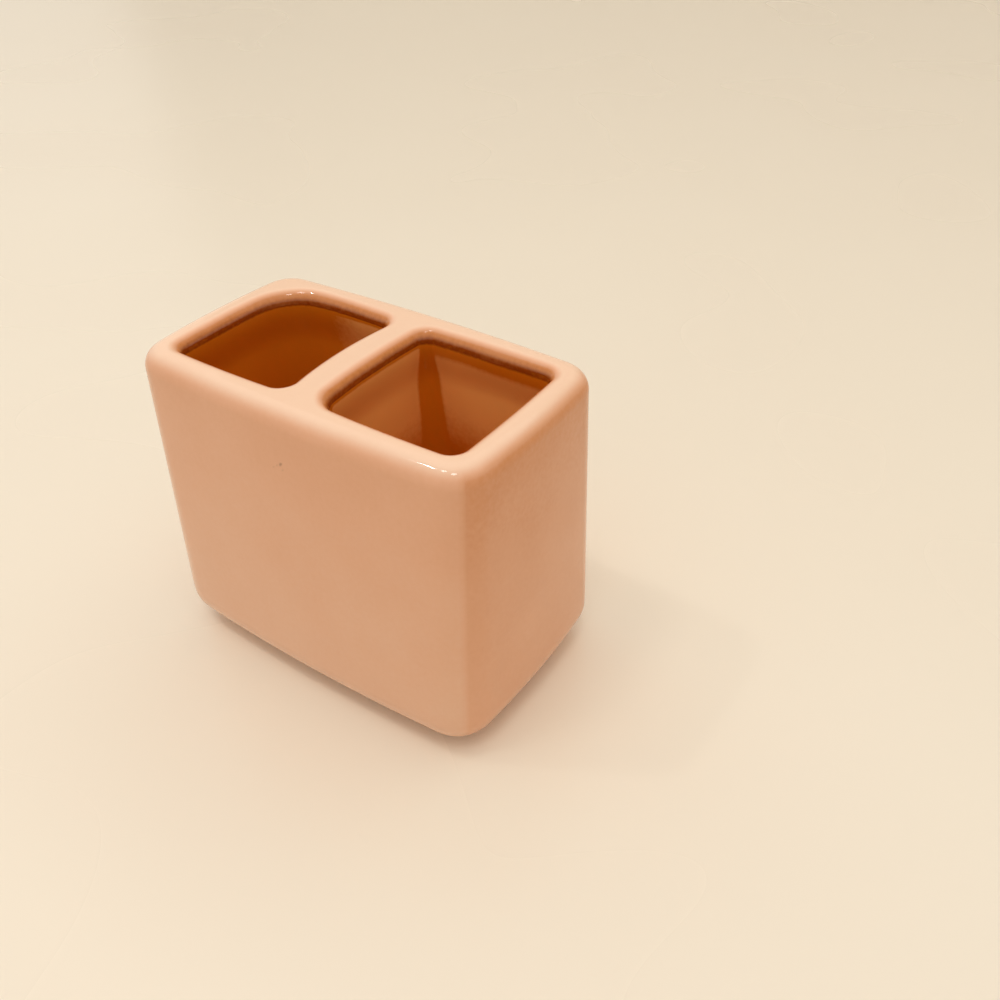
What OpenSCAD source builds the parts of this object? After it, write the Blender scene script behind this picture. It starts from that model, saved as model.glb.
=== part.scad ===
// Two-compartment toothbrush holder: one piece of glazed ceramic on four stick-on pads.
// The origin is the middle of the footprint, on the surface that the pads stand on.
// X runs along the long side, the front faces -Y and Z points up.

/* [Body] */
// Width of the body at the rim, over the bowed ends
body_w = 112; // [100:0.5:140]
// Depth of the body at the rim, over the bowed front and back
body_d = 63.5; // [60:0.5:90]
// Height of the ceramic, without the pads
body_h = 91.6; // [75:0.2:120]
// How far each end bows out between its corners
end_bow = 1; // [0.4:0.1:2]
// How far the front and the back bow out between their corners
face_bow = 1.5; // [0.5:0.1:3]
// How much further out each end stands at the base than at the rim
end_flare = 0.9; // [0:0.1:3]
// How much further out the front and the back stand at the base than at the rim
face_flare = 5; // [2:0.2:7]
// Radius of the upright corners at the rim
rim_corner_r = 10; // [8:0.5:14]
// Radius of the upright corners at the base
base_corner_r = 12.8; // [12.4:0.2:18]
// Radius of the rounding where the walls turn under
base_round = 12; // [4:0.5:12]

/* [Rim] */
// Radius of the rim's rounding on the outside
rim_out_r = 5; // [3:0.1:6]
// Radius of the rim's rounding towards the compartments
rim_in_r = 3.7; // [2:0.1:5]
// Flat width left along the top of the rim where it is narrowest
rim_land = 0.4; // [0.1:0.1:3]

/* [Divider] */
// Flat width left along the top of the divider
divider_land = 5.1; // [2:0.1:8]
// How far the divider stands from the middle, negative to the left
divider_shift = -2.6; // [-6:0.1:6]
// How far the divider's left face bows to the left
divider_bow_left = 1.5; // [0.4:0.1:2]
// How far the divider's right face bows to the left
divider_bow_right = 0.7; // [0.2:0.1:1.5]

/* [Compartments] */
// How far the other compartment walls bow out between their corners
mouth_bow = 0.3; // [0.1:0.1:0.8]
// Radius of the compartments' corners in their mouths, apart from the two below
corner_r = 3.5; // [2.5:0.5:6]
// Radius of the left compartment's rear corner at the rim's end, the roundest one
rear_corner_r = 12.5; // [6:0.5:13]
// Radius of the right compartment's front corner at the divider
front_corner_r = 6.5; // [4:0.5:8]
// How much these radii grow down to the floor
corner_growth = 3.5; // [2:0.5:4]
// How far the walls stand back under the rim and the divider's crest
relief = 2.4; // [0.5:0.1:3]
// Height over which the walls turn back
relief_h = 14; // [8:0.5:20]
// Radius of the rounding between the walls and the floor
floor_round = 9; // [4:0.5:10]
// Thickness of the ceramic under the compartments
floor_t = 8; // [6:0.5:12]

/* [Underside] */
// Width of the flat, unglazed foot around the underside
foot_w = 12; // [11:0.5:15]
// Depth of the hollow inside the foot
hollow_h = 1.5; // [0.5:0.1:3]
// Radius of the hollow's corners
hollow_corner_r = 5; // [3:0.5:7]
// How far the hollow's sides lean in
hollow_lean = 1; // [0.4:0.1:2]

/* [Pads] */
// Diameter of a pad
pad_d = 9; // [6:0.5:9.5]
// Thickness of a pad
pad_h = 1.7; // [1.4:0.1:3]
// Radius of the rounding around a pad's lower edge
pad_round = 0.6; // [0.2:0.1:0.7]
// Thickness of the adhesive between a pad and the foot
adhesive_t = 0.3; // [0.2:0.05:0.5]
// How far a pad's outline stands in from the edge of the flat foot
pad_margin = 1.2; // [1:0.1:1.4]
// How far the adhesive stays back from a pad's outline
adhesive_margin = 0.4; // [0.2:0.1:1]

/* [Smoothness] */
// Steps in a corner or a rounding
round_steps = 8; // [6:1:9]
// Steps across half of a bowed face of the body, and down its walls
face_steps = 5; // [3:1:6]
// Steps across half of a compartment's wall, and down it
wall_steps = 3; // [2:1:4]

/* [Hidden] */

glaze_colour = "#e3ac85";
pad_colour = "#d9d5cc";
adhesive_colour = "#f2f0e8";

// Cuts run this far past the surface that they open
overrun = 1;
// No rounded edge gets tighter than this
least_r = 0.4;
// A compartment's corner leaves at least this much of half of each wall
least_side = 6;
// Round steps of the pads
pad_fn = 48;

// The ceramic stands on the pads and their adhesive
lift = pad_h + adhesive_t;

function mix(low, high, share) = low + (high - low) * share;

// Half sizes and corner radius of the body's outline at height z above its foot
function half_w(z) = body_w / 2 + end_flare * (1 - z / body_h);
function half_d(z) = body_d / 2 + face_flare * (1 - z / body_h);
function upright_r(z) = mix(base_corner_r, rim_corner_r, z / body_h);

// A rounding that would meet a tighter corner stops short of it
base_round_used = min(base_round, base_corner_r - least_r);

// Radius of the arc that rises by bow over a chord of twice half_chord
function bow_r(half_chord, bow) = (half_chord * half_chord + bow * bow) / (2 * bow);

// Points of an arc about c, both ends included
function arc(c, r, from, to, steps) = [
    for (i = [0 : steps])
        let (t = mix(from, to, i / steps)) [c.x + r * cos(t), c.y + r * sin(t)]
];
function head(pts) = [for (i = [0 : len(pts) - 2]) pts[i]];
function reversed(pts) = [for (i = [len(pts) - 1 : -1 : 0]) pts[i]];
function flip(pts, x, y) = [for (p = pts) [x * p.x, y * p.y]];
function placed(pts, x, z) = [for (p = pts) [p.x + x, p.y, z]];

// A quarter of a bowed outline, from the middle of its right side to the middle of
// its back: half an arc for each side, and between them a corner arc that touches
// both. The half sizes w and d run to the crowns of the bows. A side with a
// negative bow is hollow. All arcs are drawn in by inset about their own centres.
function quarter(w, d, r, side_bow, back_bow, inset, steps) = let (
    side_r = bow_r(d - r, side_bow),
    back_r = bow_r(w - r, back_bow),
    side_x = w - side_r,
    back_y = d - back_r,
    side_reach = side_r - r,
    back_reach = back_r - r,
    gap = norm([side_x, back_y]),
    along = (side_reach * side_reach - back_reach * back_reach + gap * gap) / (2 * gap),
    across = sqrt(side_reach * side_reach - along * along),
    turn = sign(side_bow),
    u = [-side_x, back_y] / gap,
    c = [side_x + u.x * along - turn * u.y * across, u.y * along + turn * u.x * across],
    side_turn = atan2(turn * c.y, turn * (c.x - side_x)),
    back_turn = atan2(c.y - back_y, c.x)
) concat(
    head(arc([side_x, 0], side_r - inset, 0, side_turn, steps)),
    head(arc(c, r - inset, side_turn, back_turn, round_steps)),
    arc([0, back_y], back_r - inset, back_turn, 90, steps)
);

// Whole outline from its quarters, counter-clockwise from the middle of the right
// side. Each quarter is given as if its corner were the one at the right rear.
function outline(rear_right, rear_left, front_left, front_right) = concat(
    head(rear_right),
    head(flip(reversed(rear_left), -1, 1)),
    head(flip(front_left, -1, -1)),
    head(flip(reversed(front_right), 1, -1))
);

// Body outline at height z, drawn in by inset
function body_ring(z, inset) = let (
    q = quarter(half_w(z), half_d(z), upright_r(z), end_bow, face_bow, inset, face_steps)
) placed(outline(q, q, q, q), 0, z);

// Width of the rim's wall at the throat, the narrowest place of a compartment, from
// the crown of the body's side to the crown of the compartment's
throat_wall = rim_out_r + rim_land + rim_in_r - mouth_bow;
end_wall = throat_wall + end_bow;
face_wall = throat_wall + face_bow;
divider_half = divider_land / 2 + rim_in_r;

// Heights of a compartment's floor and throat, and of where its wall changes
floor_z = floor_t;
throat_z = body_h - rim_in_r;
floor_round_used = min(floor_round, corner_r + corner_growth + relief - least_r);
wall_low_z = floor_z + floor_round_used;
wall_high_z = throat_z - relief_h;

// Outline of a compartment at height z, where its walls stand back from those of
// the throat by back. The side is 1 for the right compartment and -1 for the left,
// which is drawn as the right one and then mirrored.
function compartment_ring(side, z, back) = let (
    grown = corner_growth * (1 - (z - floor_z) / (throat_z - floor_z)),
    end_x = half_w(z) - end_wall,
    divider_x = side * divider_shift + divider_half,
    divider_bow = side > 0 ? divider_bow_right : -divider_bow_left,
    w = (end_x - divider_x) / 2,
    d = half_d(z) - face_wall,
    most = min(w, d) - least_side,
    plain = min(corner_r + grown, most),
    rear_end = side > 0 ? plain : min(rear_corner_r + grown, most),
    front_divider = side > 0 ? min(front_corner_r + grown, most) : plain,
    ring = outline(
        quarter(w, d, rear_end, mouth_bow, mouth_bow, -back, wall_steps),
        quarter(w, d, plain, divider_bow, mouth_bow, -back, wall_steps),
        quarter(w, d, front_divider, divider_bow, mouth_bow, -back, wall_steps),
        quarter(w, d, plain, mouth_bow, mouth_bow, -back, wall_steps)
    )
) placed(side > 0 ? ring : reversed(flip(ring, -1, 1)), side * (end_x + divider_x) / 2, z);

// Closed solid through rings that have the same number of points, lowest ring first
module loft(rings) {
    n = len(rings[0]);
    last = len(rings) - 1;
    polyhedron(
        points = [for (ring = rings) each ring],
        faces = concat(
            [[for (i = [0 : n - 1]) i]],
            [for (k = [0 : last - 1]) for (i = [0 : n - 1])
                [k * n + i, (k + 1) * n + i, (k + 1) * n + (i + 1) % n]],
            [for (k = [0 : last - 1]) for (i = [0 : n - 1])
                [k * n + i, (k + 1) * n + (i + 1) % n, k * n + (i + 1) % n]],
            [[for (i = [n - 1 : -1 : 0]) last * n + i]]
        )
    );
}

// Outside of the body: rounded under, flared walls, and half of the rolled rim
function body_rings() = concat(
    [for (i = [0 : round_steps])
        let (t = 90 * i / round_steps)
        body_ring(base_round_used * (1 - cos(t)), base_round_used * (1 - sin(t)))],
    [for (i = [1 : face_steps - 1])
        body_ring(mix(base_round_used, body_h - rim_out_r, i / face_steps), 0)],
    [for (i = [0 : round_steps])
        let (t = 90 * i / round_steps)
        body_ring(body_h - rim_out_r * (1 - sin(t)), rim_out_r * (1 - cos(t)))]
);

// Inside of a compartment: floor rounding, wall, the turn under the rim, the mouth
function compartment_rings(side) = let (
    floor_rings = [for (i = [0 : round_steps])
        let (t = 90 * i / round_steps)
        compartment_ring(side, floor_z + floor_round_used * (1 - cos(t)),
            relief - floor_round_used * (1 - sin(t)))],
    wall_rings = [for (i = [1 : wall_steps])
        compartment_ring(side, mix(wall_low_z, wall_high_z, i / wall_steps), relief)],
    turn_rings = [for (i = [1 : round_steps])
        compartment_ring(side, mix(wall_high_z, throat_z, i / round_steps),
            relief * (1 + cos(180 * i / round_steps)) / 2)],
    mouth_rings = [for (i = [1 : round_steps])
        let (t = 90 * i / round_steps)
        compartment_ring(side, throat_z + rim_in_r * sin(t), rim_in_r * (1 - cos(t)))],
    top_ring = [for (p = compartment_ring(side, body_h, rim_in_r)) [p.x, p.y, body_h + overrun]]
) concat(floor_rings, wall_rings, turn_rings, mouth_rings, [top_ring]);

// Shallow hollow that leaves the flat foot around the underside
foot_inset = base_round_used + foot_w;
function hollow_ring(z) = let (
    inset = foot_inset + hollow_lean * z / hollow_h,
    q = quarter(half_w(0) - inset, half_d(0) - inset, hollow_corner_r, end_bow, face_bow,
        0, wall_steps)
) placed(outline(q, q, q, q), 0, z);

module ceramic_body() {
    color(glaze_colour) translate([0, 0, lift]) difference() {
        loft(body_rings());
        for (side = [-1, 1]) loft(compartment_rings(side));
        loft([hollow_ring(-overrun), hollow_ring(hollow_h)]);
    }
}

// A pad stands in a corner of the flat foot
pad_x = half_w(0) - base_round_used - pad_margin - pad_d / 2;
pad_y = half_d(0) - base_round_used - pad_margin - pad_d / 2;

module foot_pad(side_x, side_y) {
    r = pad_d / 2;
    color(pad_colour) translate([side_x * pad_x, side_y * pad_y, 0])
        rotate_extrude($fn = pad_fn) union() {
            square([r - pad_round, pad_h]);
            translate([0, pad_round]) square([r, pad_h - pad_round]);
            translate([r - pad_round, pad_round]) circle(r = pad_round, $fn = pad_fn);
        }
}

module pad_adhesive(side_x, side_y) {
    color(adhesive_colour) translate([side_x * pad_x, side_y * pad_y, pad_h])
        cylinder(r = pad_d / 2 - adhesive_margin, h = adhesive_t, $fn = pad_fn);
}

ceramic_body();
foot_pad(-1, -1);  // foot_pad_front_left
foot_pad(1, -1);  // foot_pad_front_right
foot_pad(-1, 1);  // foot_pad_rear_left
foot_pad(1, 1);  // foot_pad_rear_right
pad_adhesive(-1, -1);  // pad_adhesive_front_left
pad_adhesive(1, -1);  // pad_adhesive_front_right
pad_adhesive(-1, 1);  // pad_adhesive_rear_left
pad_adhesive(1, 1);  // pad_adhesive_rear_right
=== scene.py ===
# Peach glazed toothbrush holder with two compartments, on four silicone pads.
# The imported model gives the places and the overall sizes. Meshes are worked out in mm.
import math
import bmesh
import bpy
from mathutils import Matrix, Vector, noise


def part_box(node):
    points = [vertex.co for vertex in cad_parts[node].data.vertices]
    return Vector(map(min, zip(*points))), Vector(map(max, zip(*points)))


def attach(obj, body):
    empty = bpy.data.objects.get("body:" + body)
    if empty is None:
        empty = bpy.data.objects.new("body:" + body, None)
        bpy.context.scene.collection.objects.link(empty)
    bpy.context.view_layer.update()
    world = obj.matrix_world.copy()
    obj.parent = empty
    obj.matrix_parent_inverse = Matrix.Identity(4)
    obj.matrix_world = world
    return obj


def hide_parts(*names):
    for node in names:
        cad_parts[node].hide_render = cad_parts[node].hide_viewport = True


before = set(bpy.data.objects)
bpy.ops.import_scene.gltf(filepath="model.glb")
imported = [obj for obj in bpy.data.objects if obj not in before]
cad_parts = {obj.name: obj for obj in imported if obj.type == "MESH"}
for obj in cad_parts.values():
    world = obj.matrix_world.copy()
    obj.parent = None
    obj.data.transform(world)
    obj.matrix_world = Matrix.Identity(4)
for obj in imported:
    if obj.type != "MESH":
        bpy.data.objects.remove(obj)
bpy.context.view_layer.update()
mm = 0.001
print("frame loaded:", len(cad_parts), "nodes")


def mix(low, high, share):
    return low + (high - low) * share


def smooth(low, high, value):
    share = min(max((value - low) / (high - low), 0), 1)
    return share * share * (3 - 2 * share)


def hexToLinear(code):
    channels = [int(code[i:i + 2], 16) / 255 for i in (1, 3, 5)]
    return [c / 12.92 if c <= 0.04045 else ((c + 0.055) / 1.055) ** 2.4 for c in channels] + [1]


def towards(azimuth, elevation):
    # azimuth 0 is the front, 90 the right end
    a, e = math.radians(azimuth), math.radians(elevation)
    return Vector((math.sin(a) * math.cos(e), -math.cos(a) * math.cos(e), math.sin(e)))


def addNode(tree, kind, settings=None, links=None):
    # settings are properties, or values for sockets by name or number; links are sockets to join
    node = tree.nodes.new(kind)
    for name, value in (settings or {}).items():
        if isinstance(name, str) and hasattr(node, name):
            setattr(node, name, value)
        else:
            node.inputs[name].default_value = value
    for name, source in (links or {}).items():
        tree.links.new(source, node.inputs[name])
    return node


def newMaterial(name):
    made = bpy.data.materials.new(name)
    made.use_nodes = True
    made.node_tree.nodes.clear()
    return made, made.node_tree


# Peach gloss glaze on slip-cast earthenware, dipped and fired: a smooth, wet-looking skin that
# levels itself in the kiln. Its colour carries painted light and shade: pale on top of the rim, partly
# thin glaze and partly a painted highlight, and painted deep orange shade in the wells
peachGlaze = {
    # top of the rim: partly thin glaze over the edge, partly a painted highlight
    "rimThinAndLit": "#fdd4b3",
    "body": "#f2b58d",
    # painted shade, reached on the ends and down the inside of the rim
    "bodyShaded": "#e8a578",
    "turn": "#da8a4b",       # painted shade on the turn into the wells
    # compartment colours: the lighter one is painted light on the flats, the deeper one painted shade
    "compartmentLit": "#feb460",
    "compartmentShade": "#de7b16",
    # painted shade: the dark line under the rim
    "underRimShadeColour": "#943f0a",
    "speck": "#9a6a45",
    # where the colours lie on the glaze's scale of tone and painted shade, between the pale rim top at 0
    # and the lit flats of the wells at 1
    "stops": ((0.35, "body"), (0.5, "bodyShaded"), (0.6, "turn"), (0.7, "underRimShadeColour"), (0.78, "compartmentShade"),
              (0.9, "compartmentShade")),
    "cloudMm": 24,           # size of the drifts in colour
    "drift": 0.12,           # how far they move the colour on that scale
    "grainMm": 1.4,          # pigment grain, drawn coarse enough to show
    "fleck": 0.06,           # how far it moves the colour
    "speckEveryMm": 9,
    "speckMm": 0.16,
    "speckCore": 0.4,        # share of a speck that is at its darkest
    "speckless": 0.72,       # share of the places that stay empty
    "speckStrength": 0.6,
    "peelMm": 3.6,           # ripples of the fired surface
    "peelDepthMm": 0.004,
    "swayMm": 38,            # slow unevenness of the cast walls
    "swayDepthMm": 0.10,
    "roughness": (0.05, 0.09),
    "ior": 1.5,
    "markAt": (0.3, -32.4, 79.3),    # small kiln mark on the front, mm
    "markMm": (1.0, 3.0, 0.5),       # its half widths across, into the wall and up
    "markTurnDeg": 42,               # it rises to the right
    "markStrength": 0.9,
    "markRagged": 1.2,               # how far the grain eats into its edge
    "markEdge": (1.6, 0.9),          # where it starts and where it is full, in half widths
    "markTrail": ((-1.3, -0.75), (-2.6, -1.7), (0.5, -1.5)),  # faint dots beside it, mm across and up
    "trailSize": 0.7,                # of the mark's
    "trailStrength": 0.25
}


def makePeachGlaze():
    g = peachGlaze
    made, tree = newMaterial("PeachGlossGlaze")
    place = addNode(tree, "ShaderNodeTexCoord").outputs["Object"]
    # where each place lies on the glaze's colour scale, with painted light and shade in it
    toneAndShade = addNode(tree, "ShaderNodeAttribute", {"attribute_name": "glazeToneAndShade"}).outputs["Fac"]
    cloud = addNode(tree, "ShaderNodeTexNoise", {"Scale": 1 / (g["cloudMm"] * mm), "Detail": 2},
                    {"Vector": place}).outputs["Fac"]
    grain = addNode(tree, "ShaderNodeTexNoise", {"Scale": 1 / (g["grainMm"] * mm), "Detail": 3},
                    {"Vector": place}).outputs["Fac"]
    drift, fleck = [
        addNode(tree, "ShaderNodeMath", {"operation": "MULTIPLY_ADD", 1: reach, 2: -reach / 2},
                {0: source}).outputs[0]
        for reach, source in ((g["drift"], cloud), (g["fleck"], grain))]
    uneven = addNode(tree, "ShaderNodeMath", {"operation": "ADD"}, {0: drift, 1: fleck}).outputs[0]
    tone = addNode(tree, "ShaderNodeMath", {"operation": "ADD"}, {0: toneAndShade, 1: uneven}).outputs[0]
    ramp = addNode(tree, "ShaderNodeValToRGB", {}, {"Fac": tone})
    stops = ramp.color_ramp.elements
    stops[0].color = hexToLinear(g["rimThinAndLit"])
    stops[1].color = hexToLinear(g["compartmentLit"])
    for at, name in g["stops"]:
        stops.new(at).color = hexToLinear(g[name])

    # sparse iron specks under the glaze
    cells = addNode(tree, "ShaderNodeTexVoronoi", {"Scale": 1 / (g["speckEveryMm"] * mm)},
                    {"Vector": place})
    speckReach = g["speckMm"] / g["speckEveryMm"]
    dot = addNode(tree, "ShaderNodeMapRange",
                  {"From Min": speckReach, "From Max": g["speckCore"] * speckReach},
                  {"Value": cells.outputs["Distance"]}).outputs[0]
    tint = addNode(tree, "ShaderNodeSeparateColor", {}, {"Color": cells.outputs["Color"]})
    chosen = addNode(tree, "ShaderNodeMath", {"operation": "GREATER_THAN", 1: g["speckless"]},
                     {0: tint.outputs[0]}).outputs[0]
    dirt = addNode(tree, "ShaderNodeMath", {"operation": "MULTIPLY"}, {0: dot, 1: chosen}).outputs[0]

    # the kiln mark and its trail: ellipses about their places, with ragged edges
    x, y, z = g["markAt"]
    starts, full = g["markEdge"]
    dots = [(0, 0, 1, g["markStrength"])]
    dots += [(across, up, g["trailSize"], g["trailStrength"]) for across, up in g["markTrail"]]
    for across, up, size, strength in dots:
        away = addNode(tree, "ShaderNodeVectorMath", {
            "operation": "SUBTRACT", 1: [v * mm for v in (x + across, y, z + up)]}, {0: place}).outputs[0]
        tilted = addNode(tree, "ShaderNodeVectorRotate", {
            "rotation_type": "Y_AXIS", "Angle": math.radians(g["markTurnDeg"])
        }, {"Vector": away}).outputs[0]
        shaped = addNode(tree, "ShaderNodeVectorMath", {
            "operation": "MULTIPLY", 1: [1 / (v * size * mm) for v in g["markMm"]]
        }, {0: tilted}).outputs[0]
        reach = addNode(tree, "ShaderNodeVectorMath", {"operation": "LENGTH"},
                        {0: shaped}).outputs["Value"]
        ragged = addNode(tree, "ShaderNodeMath", {"operation": "MULTIPLY_ADD", 1: g["markRagged"]},
                         {0: grain, 2: reach}).outputs[0]
        mark = addNode(tree, "ShaderNodeMapRange",
                       {"From Min": starts, "From Max": full, "To Max": strength},
                       {"Value": ragged}).outputs[0]
        dirt = addNode(tree, "ShaderNodeMath", {"operation": "MAXIMUM"}, {0: dirt, 1: mark}).outputs[0]
    dirtShare = addNode(tree, "ShaderNodeMath", {"operation": "MULTIPLY", 1: g["speckStrength"]},
                        {0: dirt}).outputs[0]
    colour = addNode(tree, "ShaderNodeMix", {"data_type": "RGBA", 7: hexToLinear(g["speck"])},
                     {0: dirtShare, 6: ramp.outputs["Color"]}).outputs[2]

    low, high = g["roughness"]
    roughness = addNode(tree, "ShaderNodeMapRange", {"To Min": low, "To Max": high},
                        {"Value": cloud}).outputs[0]
    peel = addNode(tree, "ShaderNodeTexNoise", {"Scale": 1 / (g["peelMm"] * mm), "Detail": 1},
                   {"Vector": place}).outputs["Fac"]
    sway = addNode(tree, "ShaderNodeTexNoise", {"Scale": 1 / (g["swayMm"] * mm), "Detail": 0},
                   {"Vector": place}).outputs["Fac"]
    swayBump = addNode(tree, "ShaderNodeBump", {"Strength": 1, "Distance": g["swayDepthMm"] * mm},
                       {"Height": sway}).outputs[0]
    peelBump = addNode(tree, "ShaderNodeBump", {"Strength": 1, "Distance": g["peelDepthMm"] * mm},
                       {"Height": peel, "Normal": swayBump}).outputs[0]
    shader = addNode(tree, "ShaderNodeBsdfPrincipled", {"IOR": g["ior"]},
                     {"Base Color": colour, "Roughness": roughness, "Normal": peelBump})
    addNode(tree, "ShaderNodeOutputMaterial", {}, {"Surface": shader.outputs[0]})
    return made


# Biscuit earthenware where the glaze is wiped off the foot: dry, chalky, faintly gritty
biscuitClay = {
    "light": "#ead9c3",
    "dark": "#d9c2a6",
    "grogMm": 0.7,           # grit in the clay
    "grogShare": 0.5,        # its part in the colour, beside the clouds
    "grogDepthMm": 0.03,
    "cloudMm": 9,
    "levels": (0.45, 1.0),   # where the dark and the light colour are full
    "roughness": 0.9,
    "ior": 1.45
}


def makeBiscuitClay():
    b = biscuitClay
    made, tree = newMaterial("BiscuitEarthenware")
    place = addNode(tree, "ShaderNodeTexCoord").outputs["Object"]
    grog = addNode(tree, "ShaderNodeTexNoise", {"Scale": 1 / (b["grogMm"] * mm), "Detail": 4},
                   {"Vector": place}).outputs["Fac"]
    cloud = addNode(tree, "ShaderNodeTexNoise", {"Scale": 1 / (b["cloudMm"] * mm), "Detail": 2},
                    {"Vector": place}).outputs["Fac"]
    tone = addNode(tree, "ShaderNodeMath", {"operation": "MULTIPLY_ADD", 1: b["grogShare"]},
                   {0: grog, 2: cloud})
    ramp = addNode(tree, "ShaderNodeValToRGB", {}, {"Fac": tone.outputs[0]})
    stops = ramp.color_ramp.elements
    stops[0].position, stops[1].position = b["levels"]
    stops[0].color = hexToLinear(b["dark"])
    stops[1].color = hexToLinear(b["light"])
    bump = addNode(tree, "ShaderNodeBump", {"Strength": 1, "Distance": b["grogDepthMm"] * mm},
                   {"Height": grog}).outputs[0]
    shader = addNode(tree, "ShaderNodeBsdfPrincipled", {"IOR": b["ior"], "Roughness": b["roughness"]},
                     {"Base Color": ramp.outputs["Color"], "Normal": bump})
    addNode(tree, "ShaderNodeOutputMaterial", {}, {"Surface": shader.outputs[0]})
    return made


# Silicone rubber, compression moulded: milky, soft-looking, with the mould's fine matt texture
milkySilicone = {
    "colour": "#ddd9d0",
    "deep": "#cfcac0",
    "cloudMm": 3,
    "textureMm": 0.35,       # the mould's spark-eroded grain, drawn coarse enough to show
    "textureDepthMm": 0.01,
    "roughness": (0.5, 0.7),
    "milk": 0.25,            # share of the light that goes in and scatters
    "milkMm": (1.2, 1.0, 0.8),       # how far it gets, in red, green and blue
    "ior": 1.41
}


def makeMilkySilicone():
    s = milkySilicone
    made, tree = newMaterial("MilkySiliconeRubber")
    place = addNode(tree, "ShaderNodeTexCoord").outputs["Object"]
    cloud = addNode(tree, "ShaderNodeTexNoise", {"Scale": 1 / (s["cloudMm"] * mm), "Detail": 2},
                    {"Vector": place}).outputs["Fac"]
    fine = addNode(tree, "ShaderNodeTexNoise", {"Scale": 1 / (s["textureMm"] * mm), "Detail": 2},
                   {"Vector": place}).outputs["Fac"]
    colour = addNode(tree, "ShaderNodeMix", {
        "data_type": "RGBA", 6: hexToLinear(s["colour"]), 7: hexToLinear(s["deep"])
    }, {0: cloud}).outputs[2]
    low, high = s["roughness"]
    roughness = addNode(tree, "ShaderNodeMapRange", {"To Min": low, "To Max": high},
                        {"Value": fine}).outputs[0]
    bump = addNode(tree, "ShaderNodeBump", {"Strength": 1, "Distance": s["textureDepthMm"] * mm},
                   {"Height": fine}).outputs[0]
    shader = addNode(tree, "ShaderNodeBsdfPrincipled", {
        "IOR": s["ior"], "Subsurface Weight": s["milk"], "Subsurface Scale": 1,
        "Subsurface Radius": [far * mm for far in s["milkMm"]]
    }, {"Base Color": colour, "Roughness": roughness, "Normal": bump})
    addNode(tree, "ShaderNodeOutputMaterial", {}, {"Surface": shader.outputs[0]})
    return made


# Acrylic foam tape, die cut: off-white, dull, with open cells along its cut edge
foamTape = {
    "colour": "#efebdf",
    "cell": "#d8d2c2",
    "cellMm": 0.18,          # drawn a little coarse, so that the cells show
    "cellDepthMm": 0.03,
    "roughness": 0.8,
    "ior": 1.48
}


def makeFoamTape():
    f = foamTape
    made, tree = newMaterial("AcrylicFoamTape")
    place = addNode(tree, "ShaderNodeTexCoord").outputs["Object"]
    cells = addNode(tree, "ShaderNodeTexVoronoi", {"Scale": 1 / (f["cellMm"] * mm)},
                    {"Vector": place}).outputs["Distance"]
    colour = addNode(tree, "ShaderNodeMix", {
        "data_type": "RGBA", 6: hexToLinear(f["cell"]), 7: hexToLinear(f["colour"])
    }, {0: cells}).outputs[2]
    bump = addNode(tree, "ShaderNodeBump", {"Strength": 1, "Distance": f["cellDepthMm"] * mm},
                   {"Height": cells}).outputs[0]
    shader = addNode(tree, "ShaderNodeBsdfPrincipled", {"IOR": f["ior"], "Roughness": f["roughness"]},
                     {"Base Color": colour, "Normal": bump})
    addNode(tree, "ShaderNodeOutputMaterial", {}, {"Surface": shader.outputs[0]})
    return made


glaze, biscuit = makePeachGlaze(), makeBiscuitClay()
silicone, tape = makeMilkySilicone(), makeFoamTape()
print("materials made:", len(bpy.data.materials))


# Outlines, in mm. A side is a shallow arc, and a corner arc touches the sides on both sides of it.
def bowRadius(halfChord, bow):
    return (halfChord ** 2 + bow ** 2) / (2 * bow)


def arc(cx, cy, r, start, end, steps):
    turns = [mix(start, end, i / steps) for i in range(steps + 1)]
    return [(cx + r * math.cos(t), cy + r * math.sin(t)) for t in turns]


def quarter(w, d, r, sideBow, backBow, inset, steps):
    # from the middle of the right side to the middle of the back; w and d are half sizes, and inset
    # moves it inwards
    sideR, backR = bowRadius(d - r, sideBow), bowRadius(w - r, backBow)
    sideX, backY = w - sideR, d - backR
    gap = math.hypot(sideX, backY)
    along = ((sideR - r) ** 2 - (backR - r) ** 2 + gap ** 2) / (2 * gap)
    across = math.sqrt((sideR - r) ** 2 - along ** 2)
    turn = math.copysign(1, sideBow)     # a negative bow is a hollow side
    ux, uy = -sideX / gap, backY / gap
    cx = sideX + ux * along - turn * uy * across
    cy = uy * along + turn * ux * across
    sideTurn = math.atan2(turn * cy, turn * (cx - sideX))
    backTurn = math.atan2(cy - backY, cx)
    sideSteps, cornerSteps, backSteps = steps
    return (arc(sideX, 0, sideR - inset, 0, sideTurn, sideSteps)[:-1]
            + arc(cx, cy, r - inset, sideTurn, backTurn, cornerSteps)[:-1]
            + arc(0, backY, backR - inset, backTurn, math.pi / 2, backSteps))


def outline(rearRight, rearLeft, frontLeft, frontRight):
    # counter-clockwise from the middle of the right side, each quarter given as a right rear one
    return (rearRight[:-1] + [(-x, y) for x, y in rearLeft[::-1]][:-1]
            + [(-x, -y) for x, y in frontLeft][:-1] + [(x, -y) for x, y in frontRight[::-1]][:-1])


def level(points, z, shift=0):
    return [(x + shift, y, z) for x, y in points]


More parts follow.
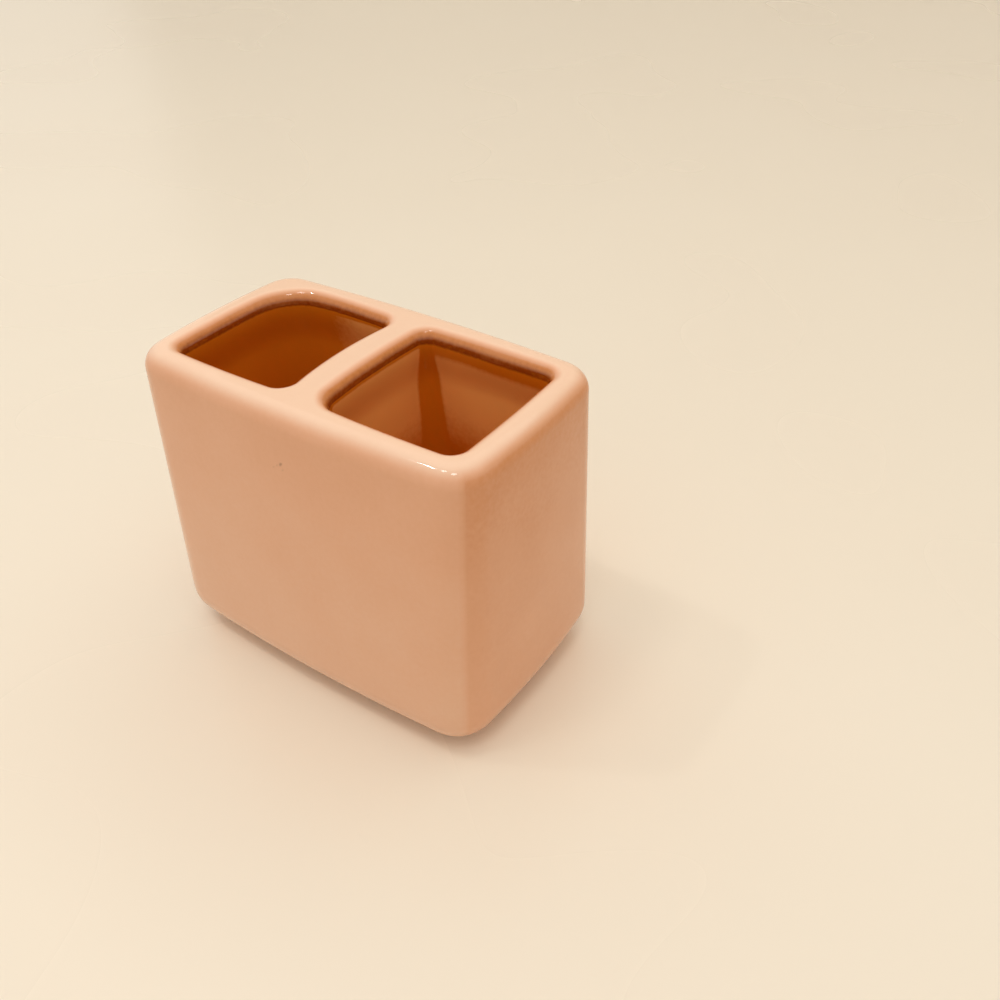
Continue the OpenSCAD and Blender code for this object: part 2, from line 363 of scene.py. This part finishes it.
# One piece of slip-cast earthenware. Sizes in mm, heights above the foot.
body = {
    "endBow": 1, "faceBow": 1.5,            # how far the walls bow out between their corners
    "endFlare": 0.9, "faceFlare": 5,        # how much further out a wall stands at the foot
    "rimCornerR": 10, "baseCornerR": 12.8,
    "baseRound": 12,
    "rimOutR": 5, "rimInR": 3.7, "rimLand": 0.4,
    "dividerLand": 5.1, "dividerShift": -2.6, "dividerBowLeft": 1.5, "dividerBowRight": 0.7,
    "mouthBow": 0.3,
    "cornerR": 3.5,
    "rearCornerR": 12.5,     # left compartment, at the rim's end
    "frontCornerR": 6.5,     # right compartment, at the divider
    "cornerGrowth": 3.5,     # the corners get this much rounder towards the floor
    "leastSide": 6,          # a corner leaves this much of half a wall
    "relief": 2.4,           # the walls stand back by this much below the rim
    "reliefH": 14,           # and take this height to do it
    "floorRound": 9, "floorT": 8,
    "floorMargin": 0.4,      # what a floor's rounding leaves of its sharpest corner
    "floorDish": 0.35,       # the floor sags by this in its middle
    "floorRings": 10,
    "footW": 12, "hollowH": 1.5, "hollowCornerR": 5, "hollowLean": 1,
    "footStrips": 6, "hollowRows": 4, "hollowRings": 8,
    "glazeLineDeg": 15,      # where the glaze stops on the lower rounding
    "glazeLineDriftDeg": 3,
    "glazeLineWaves": 0.09,  # of the drift, per mm
    "glazeBead": 0.14,       # the glaze ends in a soft roll this thick
    "beadDeg": ((0.3, 1), (1.5, 0.9), (4, 0.3), (7, 0)),     # its shares, past the line
    "steps": (14, 14, 18),   # points on half a side, a corner, and half a long side
    "roundSteps": 18,
    "wallSteps": 22
}
bodyLow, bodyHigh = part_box("ceramic_body")
bodyH = (bodyHigh.z - bodyLow.z) / mm
widestShare = 1 - body["baseRound"] / bodyH
rimHalfW = (bodyHigh.x - bodyLow.x) / mm / 2 - body["endFlare"] * widestShare
rimHalfD = (bodyHigh.y - bodyLow.y) / mm / 2 - body["faceFlare"] * widestShare


def halfW(z):
    return rimHalfW + body["endFlare"] * (1 - z / bodyH)


def halfD(z):
    return rimHalfD + body["faceFlare"] * (1 - z / bodyH)


def bodyRing(z, inset):
    r = mix(body["baseCornerR"], body["rimCornerR"], z / bodyH)
    q = quarter(halfW(z), halfD(z), r, body["endBow"], body["faceBow"], inset, body["steps"])
    return level(outline(q, q, q, q), z)


throatWall = body["rimOutR"] + body["rimLand"] + body["rimInR"] - body["mouthBow"]
throatZ = bodyH - body["rimInR"]
dividerHalf = body["dividerLand"] / 2 + body["rimInR"]


def compartmentRing(side, z, back):
    # side is 1 for the right compartment and -1 for the left, which is worked out mirrored; back is
    # how far its walls stand back from those of the throat
    b = body
    grown = b["cornerGrowth"] * (1 - (z - b["floorT"]) / (throatZ - b["floorT"]))
    endX = halfW(z) - throatWall - b["endBow"]
    dividerX = side * b["dividerShift"] + dividerHalf
    w, d = (endX - dividerX) / 2, halfD(z) - throatWall - b["faceBow"]
    bow = b["dividerBowRight"] if side > 0 else -b["dividerBowLeft"]

    def corner(r, sideBow):
        return quarter(w, d, min(r + grown, min(w, d) - b["leastSide"]), sideBow, b["mouthBow"],
                       -back, b["steps"])

    ring = outline(
        corner(b["cornerR"] if side > 0 else b["rearCornerR"], b["mouthBow"]),
        corner(b["cornerR"], bow),
        corner(b["frontCornerR"] if side > 0 else b["cornerR"], bow),
        corner(b["cornerR"], b["mouthBow"]))
    if side < 0:
        ring = [(-x, y) for x, y in ring[::-1]]
    return level(ring, z, side * (endX + dividerX) / 2)


def outerRings():
    # foot edge, the strip of bare clay, the glaze bead, the lower rounding, the wall and the rim
    b = body
    rows = []
    lineAt = []
    for x, y, z in bodyRing(0, b["baseRound"]):
        drift = noise.noise(Vector((x, y, 0)) * b["glazeLineWaves"])
        lineAt.append(b["glazeLineDeg"] + b["glazeLineDriftDeg"] * drift)

    def roundingRow(angles, bead):
        made = []
        for i, angle in enumerate(angles):
            t = math.radians(angle)
            z = b["baseRound"] * (1 - math.cos(t)) - bead * math.cos(t)
            inset = b["baseRound"] * (1 - math.sin(t)) - bead * math.sin(t)
            made.append((i, max(z, 0), inset))
        return made

    # angles on the lower rounding, each row with its bead: up to the glaze line, over the bead, and on
    plan = [([a * share for a in lineAt], 0) for share in (0, 0.5, 1)]
    plan += [([a + past for a in lineAt], b["glazeBead"] * share) for past, share in b["beadDeg"]]
    beadEnd = b["beadDeg"][-1][0]
    for k in range(1, b["roundSteps"] + 1):
        plan.append(([mix(a + beadEnd, 90, k / b["roundSteps"]) for a in lineAt], 0))
    for angles, bead in plan:
        rows.append([bodyRing(z, inset)[i] for i, z, inset in roundingRow(angles, bead)])
    for k in range(1, b["wallSteps"] + 1):
        rows.append(bodyRing(mix(b["baseRound"], bodyH - b["rimOutR"], k / b["wallSteps"]), 0))
    for k in range(1, b["roundSteps"] + 1):
        t = math.radians(90 * k / b["roundSteps"])
        rows.append(bodyRing(bodyH - b["rimOutR"] * (1 - math.sin(t)), b["rimOutR"] * (1 - math.cos(t))))
    return rows


def compartmentRings(side):
    b = body
    rows = []
    reach = min(b["floorRound"], b["cornerR"] + b["cornerGrowth"] + b["relief"] - b["floorMargin"])
    for k in range(b["roundSteps"] + 1):
        t = math.radians(90 * k / b["roundSteps"])
        rows.append(compartmentRing(side, b["floorT"] + reach * (1 - math.cos(t)),
                                    b["relief"] - reach * (1 - math.sin(t))))
    low, high = b["floorT"] + reach, throatZ - b["reliefH"]
    for k in range(1, b["wallSteps"] + 1):
        rows.append(compartmentRing(side, mix(low, high, k / b["wallSteps"]), b["relief"]))
    for k in range(1, b["roundSteps"] + 1):
        share = k / b["roundSteps"]
        rows.append(compartmentRing(side, mix(high, throatZ, share),
                                    b["relief"] * (1 + math.cos(math.pi * share)) / 2))
    for k in range(1, b["roundSteps"] + 1):
        t = math.radians(90 * k / b["roundSteps"])
        rows.append(compartmentRing(side, throatZ + b["rimInR"] * math.sin(t),
                                    b["rimInR"] * (1 - math.cos(t))))
    return rows


# Where each place lies on the peach glaze's scale of colours, which carries painted light and shade:
# 0 on top of the rim, where the glaze is thinnest and a painted highlight lies, and 0.7 for the painted
# shade under the rim. Pairs say where a change starts and where it is full.
# Degrees on the rim are counted down from its top, and degrees of a wall from the long faces.
glazeToneAndShade = {
    "outside": 0.4,
    "outsideDeg": (15, 65),  # pale over the outside of the rim, partly thin glaze and partly a painted highlight;
    "endsShade": 0.15,       # painted shade makes it darker round the ends,
    "endDeg": (40, 52),
    "footBounceLight": 0.2,      # and painted floor-bounce light makes it lighter towards the foot
    "turn": 0.6,             # painted shade darkens it down the inside of the rim
    "turnDeg": (0, 47),
    "underRimShade": 0.1,             # and a painted shade line lies just under the rim
    "underRimShadeDeg": (50, 80),
    "underRimShadeDown": (1.2, 0.2),  # mm below the throat
    "run": 0.83,             # painted shade below that line, on the long walls of the right compartment
    "runDeg": (60, 30),
    "runDown": (6, 1.5),
    # painted shade: the deep orange of the compartments
    "compartmentShade": 0.86,
    "flat": 0.16,            # in the wells, painted light makes it lighter on the flats, and painted shade stays in the corners,
    "flatDeg": (24, 8),
    "flatH": (44, 68),       # low down
    "flatX": (-38, -14)      # and round the left end
}


def fallDeg(share):
    # degrees down a rounding, from the share of its radius that is left
    return math.degrees(math.acos(min(max(share, 0), 1)))


def glazeToneAndShadeAt(x, z, inside, turn=0):
    d = glazeToneAndShade
    if not inside:
        # painted shade round the ends
        wall = d["outside"] + d["endsShade"] * smooth(*d["endDeg"], turn)
        # painted floor-bounce light, lighter towards the foot
        wall -= d["footBounceLight"] * (1 - z / bodyH)
        return wall * smooth(*d["outsideDeg"], fallDeg(1 - (bodyH - z) / body["rimOutR"]))
    if z > throatZ:
        fall = fallDeg((z - throatZ) / body["rimInR"])
        # painted shade darkening down the inner rounding, then the painted shade line under it
        return d["turn"] * smooth(*d["turnDeg"], fall) + d["underRimShade"] * smooth(*d["underRimShadeDeg"], fall)
    down = throatZ - z
    # painted light on the flats of the compartments; painted shade in the corners, low down and round the
    # left end
    flat = smooth(*d["flatDeg"], min(turn, 90 - turn)) * smooth(*d["flatH"], z) * smooth(*d["flatX"], x)
    compartmentShade = d["compartmentShade"] + d["flat"] * flat
    # painted shade below the shade line on the long walls of the right compartment
    if x > 0:
        compartmentShade = mix(compartmentShade, d["run"], smooth(*d["runDeg"], turn) * smooth(*d["runDown"], down))
    # painted shade line just below the throat
    return mix(compartmentShade, d["turn"] + d["underRimShade"], smooth(*d["underRimShadeDown"], down))


def buildBody():
    bm = bmesh.new()
    # where each place lies on the glaze's colour scale, with painted light and shade in it
    toneAndShadeLayer = bm.verts.layers.float.new("glazeToneAndShade")
    low = bodyLow.z / mm

    def addRows(rows, inside, material):
        made = []
        for row in rows:
            ring = []
            for before, (x, y, z), after in zip(row[-1:] + row[:-1], row, row[1:] + row[:1]):
                vert = bm.verts.new((x * mm, y * mm, (z + low) * mm))
                turn = math.degrees(math.atan2(abs(after[1] - before[1]), abs(after[0] - before[0])))
                vert[toneAndShadeLayer] = glazeToneAndShadeAt(x, z, inside, turn)
                ring.append(vert)
            made.append(ring)
        joinRings(made, material)
        return made

    def joinRings(rings, material):
        for row, (lower, upper) in enumerate(zip(rings, rings[1:])):
            n = len(lower)
            for i in range(n):
                j = (i + 1) % n
                face = bm.faces.new((lower[i], lower[j], upper[j], upper[i]))
                face.material_index = material(row) if callable(material) else material

    def closeRing(ring, rows, inside, material, dish=0):
        # rings that shrink to the middle and sag by dish there, then a fan
        n = len(ring)
        middle = sum((v.co for v in ring), Vector()) / n
        last = ring
        for k in range(1, rows):
            share = 1 - k / rows
            new = []
            for v in ring:
                p = middle + (v.co - middle) * share
                p.z -= dish * mm * (1 - share * share)
                vert = bm.verts.new(p)
                vert[toneAndShadeLayer] = glazeToneAndShadeAt(p.x / mm, p.z / mm - low, inside)
                new.append(vert)
            joinRings([last, new], material)
            last = new
        tip = bm.verts.new(middle - Vector((0, 0, dish * mm)))
        tip[toneAndShadeLayer] = last[0][toneAndShadeLayer]
        for i in range(n):
            bm.faces.new((last[i], last[(i + 1) % n], tip)).material_index = material

    outer = addRows(outerRings(), False, lambda k: 1 if k < 2 else 0)     # bare up to the glaze line
    tops = [outer[-1]]
    for side in (-1, 1):
        rings = addRows(compartmentRings(side), True, 0)
        closeRing(rings[0], body["floorRings"], True, 0, body["floorDish"])
        tops.append(rings[-1])

    # flat top left between the rounded edges
    edges = [bm.edges.get(ends) for ring in tops for ends in zip(ring, ring[1:] + ring[:1])]
    bmesh.ops.triangle_fill(bm, use_beauty=True, edges=edges)

    # bare foot, then the glazed hollow inside it
    def hollowRing(z):
        inset = body["baseRound"] + body["footW"] + body["hollowLean"] * z / body["hollowH"]
        q = quarter(halfW(0) - inset, halfD(0) - inset, body["hollowCornerR"], body["endBow"],
                    body["faceBow"], 0, body["steps"])
        return level(outline(q, q, q, q), z)

    rows, strips = body["hollowRows"], body["footStrips"]
    sides = addRows([hollowRing(body["hollowH"] * k / rows) for k in range(rows + 1)], False, 0)
    foot = [outer[0]]
    for k in range(1, strips):
        foot.append([bm.verts.new(a.co.lerp(b.co, k / strips)) for a, b in zip(outer[0], sides[0])])
    foot.append(sides[0])
    joinRings(foot, 1)
    closeRing(sides[-1], body["hollowRings"], False, 0)

    bmesh.ops.recalc_face_normals(bm, faces=bm.faces)
    for face in bm.faces:
        face.smooth = True
    mesh = bpy.data.meshes.new("glazed_body")
    bm.verts.index_update()
    topVerts = {v.index for ring in tops for v in ring}
    bm.to_mesh(mesh)
    bm.free()

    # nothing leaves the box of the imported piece
    for v in mesh.vertices:
        v.co = Vector(min(max(c, a), b) for c, a, b in zip(v.co, bodyLow, bodyHigh))
    normals = [Vector((0, 0, 1)) if v.index in topVerts else v.normal.copy() for v in mesh.vertices]
    mesh.normals_split_custom_set_from_vertices(normals)
    mesh.materials.append(glaze)
    mesh.materials.append(biscuit)
    made = bpy.data.objects.new("glazed_body", mesh)
    bpy.context.scene.collection.objects.link(made)
    return made


glazedBody = buildBody()
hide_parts("ceramic_body")
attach(glazedBody, "root")
print("body built:", len(glazedBody.data.polygons), "faces")


# Pads and the discs that hold them, turned from a profile of radius and height in mm
pad = {
    "lowerRound": 0.6,
    "upperRound": 0.15,
    "turns": 72,
    "roundSteps": 8,
    "discRagged": 0.08,   # the tape's cut edge wanders by this much
    "raggedWaves": 3
}


def turned(name, profile, node, material, ragged=0):
    low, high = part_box(node)
    middle = (low + high) / 2
    turns, waves = pad["turns"], pad["raggedWaves"]
    bm = bmesh.new()
    rings = []
    for r, z in profile:
        ring = []
        for i in range(turns):
            t = 2 * math.pi * i / turns
            c, s = math.cos(t), math.sin(t)
            out = (r - ragged * abs(noise.noise(Vector((waves * c, waves * s, middle.x / mm))))) * mm
            ring.append(bm.verts.new((middle.x + out * c, middle.y + out * s, low.z + z * mm)))
        rings.append(ring)
    for lower, upper in zip(rings, rings[1:]):
        for i in range(turns):
            j = (i + 1) % turns
            bm.faces.new((lower[i], lower[j], upper[j], upper[i])).smooth = True
    for ring in (rings[0], rings[-1]):
        tip = bm.verts.new((middle.x, middle.y, ring[0].co.z))
        for i in range(turns):
            bm.faces.new((ring[i], ring[(i + 1) % turns], tip)).smooth = True
    bmesh.ops.recalc_face_normals(bm, faces=bm.faces)
    mesh = bpy.data.meshes.new(name)
    bm.to_mesh(mesh)
    bm.free()
    mesh.materials.append(material)
    made = bpy.data.objects.new(name, mesh)
    bpy.context.scene.collection.objects.link(made)
    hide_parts(node)
    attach(made, "root")
    return made


def padProfile(r, h):
    low, top = pad["lowerRound"], pad["upperRound"]
    steps = pad["roundSteps"]
    below = [(r - low + low * math.sin(t), low - low * math.cos(t))
             for t in (math.pi / 2 * k / steps for k in range(steps + 1))]
    above = [(r - top + top * math.cos(t), h - top + top * math.sin(t))
             for t in (math.pi / 2 * k / steps for k in range(steps + 1))]
    return [((r - low) * k / 4, 0) for k in (1, 2, 3)] + below + above + [((r - top) / 2, h)]


def discProfile(r, h):
    return [(r / 2, 0)] + [(r, h * k / 4) for k in range(5)] + [(r / 2, h)]


for corner in ("front_left", "front_right", "rear_left", "rear_right"):
    low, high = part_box("foot_pad_" + corner)
    made = turned("silicone_pad_" + corner, padProfile((high.x - low.x) / 2 / mm, (high.z - low.z) / mm),
                  "foot_pad_" + corner, silicone)
    low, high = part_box("pad_adhesive_" + corner)
    made = turned("tape_disc_" + corner, discProfile((high.x - low.x) / 2 / mm, (high.z - low.z) / mm),
                  "pad_adhesive_" + corner, tape, pad["discRagged"])
print("pads and tape discs built")


# Satin lacquered board, seamless: pale cream, smooth enough for a soft reflection
floor = {
    "colour": "#f7ead4",
    "worn": "#f4e6cf",
    "cloudMm": 160,
    "roughness": (0.24, 0.30),
    "ior": 1.45,
    "halfWidth": 4,       # metres
    "front": -3,
    "back": 3,
    "sweepR": 1.2,        # the board bends up at the back
    "sweepSteps": 24,
    "top": 3
}


def buildFloor():
    f = floor
    made, tree = newMaterial("SatinLacquerBoard")
    place = addNode(tree, "ShaderNodeTexCoord").outputs["Object"]
    cloud = addNode(tree, "ShaderNodeTexNoise", {"Scale": 1 / (f["cloudMm"] * mm), "Detail": 1},
                    {"Vector": place}).outputs["Fac"]
    colour = addNode(tree, "ShaderNodeMix", {
        "data_type": "RGBA", 6: hexToLinear(f["colour"]), 7: hexToLinear(f["worn"])
    }, {0: cloud}).outputs[2]
    low, high = f["roughness"]
    roughness = addNode(tree, "ShaderNodeMapRange", {"To Min": low, "To Max": high},
                        {"Value": cloud}).outputs[0]
    shader = addNode(tree, "ShaderNodeBsdfPrincipled", {"IOR": f["ior"]},
                     {"Base Color": colour, "Roughness": roughness})
    addNode(tree, "ShaderNodeOutputMaterial", {}, {"Surface": shader.outputs[0]})

    r = f["sweepR"]
    profile = [(f["front"], 0), (f["back"] - r, 0)]
    for k in range(1, f["sweepSteps"] + 1):
        t = math.pi / 2 * k / f["sweepSteps"]
        profile.append((f["back"] - r + r * math.sin(t), r * (1 - math.cos(t))))
    profile.append((f["back"], f["top"]))
    bm = bmesh.new()
    rows = [[bm.verts.new((x, y, z)) for x in (-f["halfWidth"], f["halfWidth"])] for y, z in profile]
    for a, b in zip(rows, rows[1:]):
        bm.faces.new((a[0], a[1], b[1], b[0])).smooth = True
    mesh = bpy.data.meshes.new("studio_floor")
    bm.to_mesh(mesh)
    bm.free()
    mesh.materials.append(made)
    sweep = bpy.data.objects.new("studio_floor", mesh)
    bpy.context.scene.collection.objects.link(sweep)


buildFloor()

# Studio light: soft glows all round and above, as from large white cloths, and small lamps high up
# that give the short glints on the rim
light = {
    # each glow: azimuth and elevation of its middle, strength there, colour
    "glows": [
        ((0, 55), 0.83, "#ffffff"),
        ((-135, 55), 0.42, "#ffffff"),
        ((90, 55), 0.70, "#fff7ee"),
        ((180, 55), 0.34, "#ffffff"),
        ((180, 15), 1.64, "#ffffff"),
        ((-90, 15), 0.51, "#ffffff")
    ],
    "glowEdge": (0.6, 0.95),     # where a glow starts and is full, cosines of the angle to its middle
    "room": "#efe6d8",           # what the camera and the mirroring glaze see round the floor
    "lamps": [
        {"name": "lampLeft", "azimuth": -61.8, "elevation": 61.6, "size": 0.05, "watts": 0.8},
        {"name": "lampFront", "azimuth": -34.3, "elevation": 72.1, "size": 0.25, "watts": 1.2},
        {"name": "lampRight", "azimuth": 32.1, "elevation": 68.5, "size": 0.25, "watts": 1.2}
    ],
    "lampsAway": 1.4             # metres
}


def buildLight():
    world = bpy.data.worlds.new("softRoom")
    world.use_nodes = True
    tree = world.node_tree
    tree.nodes.clear()
    way = addNode(tree, "ShaderNodeTexCoord").outputs["Generated"]
    edge, full = light["glowEdge"]
    total = None
    for aim, strength, colour in light["glows"]:
        near = addNode(tree, "ShaderNodeVectorMath", {"operation": "DOT_PRODUCT", 1: towards(*aim)},
                       {0: way}).outputs["Value"]
        share = addNode(tree, "ShaderNodeMapRange", {
            "interpolation_type": "SMOOTHSTEP", "From Min": edge, "From Max": full
        }, {"Value": near}).outputs[0]
        shine = [c * strength for c in hexToLinear(colour)[:3]]
        links = {0: share, 2: total} if total else {0: share}
        total = addNode(tree, "ShaderNodeVectorMath", {"operation": "MULTIPLY_ADD", 1: shine},
                        links).outputs[0]
    glow = addNode(tree, "ShaderNodeBackground", {"Strength": 1}, {"Color": total})
    room = addNode(tree, "ShaderNodeBackground", {"Strength": 1, "Color": hexToLinear(light["room"])})
    ray = addNode(tree, "ShaderNodeLightPath")
    seen = ray.outputs["Is Camera Ray"]
    for kind in ("Is Glossy Ray", "Is Transmission Ray"):
        seen = addNode(tree, "ShaderNodeMath", {"operation": "MAXIMUM"},
                       {0: seen, 1: ray.outputs[kind]}).outputs[0]
    shown = addNode(tree, "ShaderNodeMixShader", {}, {0: seen, 1: glow.outputs[0], 2: room.outputs[0]})
    addNode(tree, "ShaderNodeOutputWorld", {}, {"Surface": shown.outputs[0]})
    bpy.context.scene.world = world
    for spec in light["lamps"]:
        data = bpy.data.lights.new(spec["name"], "AREA")
        data.shape = "DISK"
        data.size = spec["size"]
        data.energy = spec["watts"]
        lamp = bpy.data.objects.new(spec["name"], data)
        lampWay = towards(spec["azimuth"], spec["elevation"])
        lamp.location = Vector((0, 0, bodyHigh.z / 2)) + lampWay * light["lampsAway"]
        lamp.rotation_mode = "QUATERNION"
        lamp.rotation_quaternion = lampWay.to_track_quat("Z", "Y")
        bpy.context.scene.collection.objects.link(lamp)


buildLight()

# Camera, fitted to the photograph's outline and edges
shot = {
    "azimuth": 34.69, "elevation": 37.80, "roll": -1.13,   # degrees
    "away": 280.72,          # mm from the middle of the body, along the view
    "right": 35.53, "up": -1.40,
    "focalPixels": 976.42, "imagePixels": 1000,
    "sensor": 36,
    "clip": (0.01, 20)       # metres
}


def buildCamera():
    s = shot
    back = towards(s["azimuth"], s["elevation"])
    right = Vector((math.cos(math.radians(s["azimuth"])), math.sin(math.radians(s["azimuth"])), 0))
    up = back.cross(right)
    turn = math.radians(s["roll"])
    x = right * math.cos(turn) + up * math.sin(turn)
    y = -right * math.sin(turn) + up * math.cos(turn)
    middle = Vector((0, 0, (bodyLow.z + bodyHigh.z) / 2))
    place = middle + (back * s["away"] + right * s["right"] + up * s["up"]) * mm
    data = bpy.data.cameras.new("shot")
    data.sensor_width = s["sensor"]
    data.lens = s["sensor"] * s["focalPixels"] / s["imagePixels"]
    data.clip_start, data.clip_end = s["clip"]
    camera = bpy.data.objects.new("shot", data)
    camera.matrix_world = Matrix((x, y, back)).transposed().to_4x4()
    camera.location = place
    bpy.context.scene.collection.objects.link(camera)
    bpy.context.scene.camera = camera


buildCamera()
bpy.context.scene.view_settings.view_transform = "Standard"
print("floor, light and camera set")
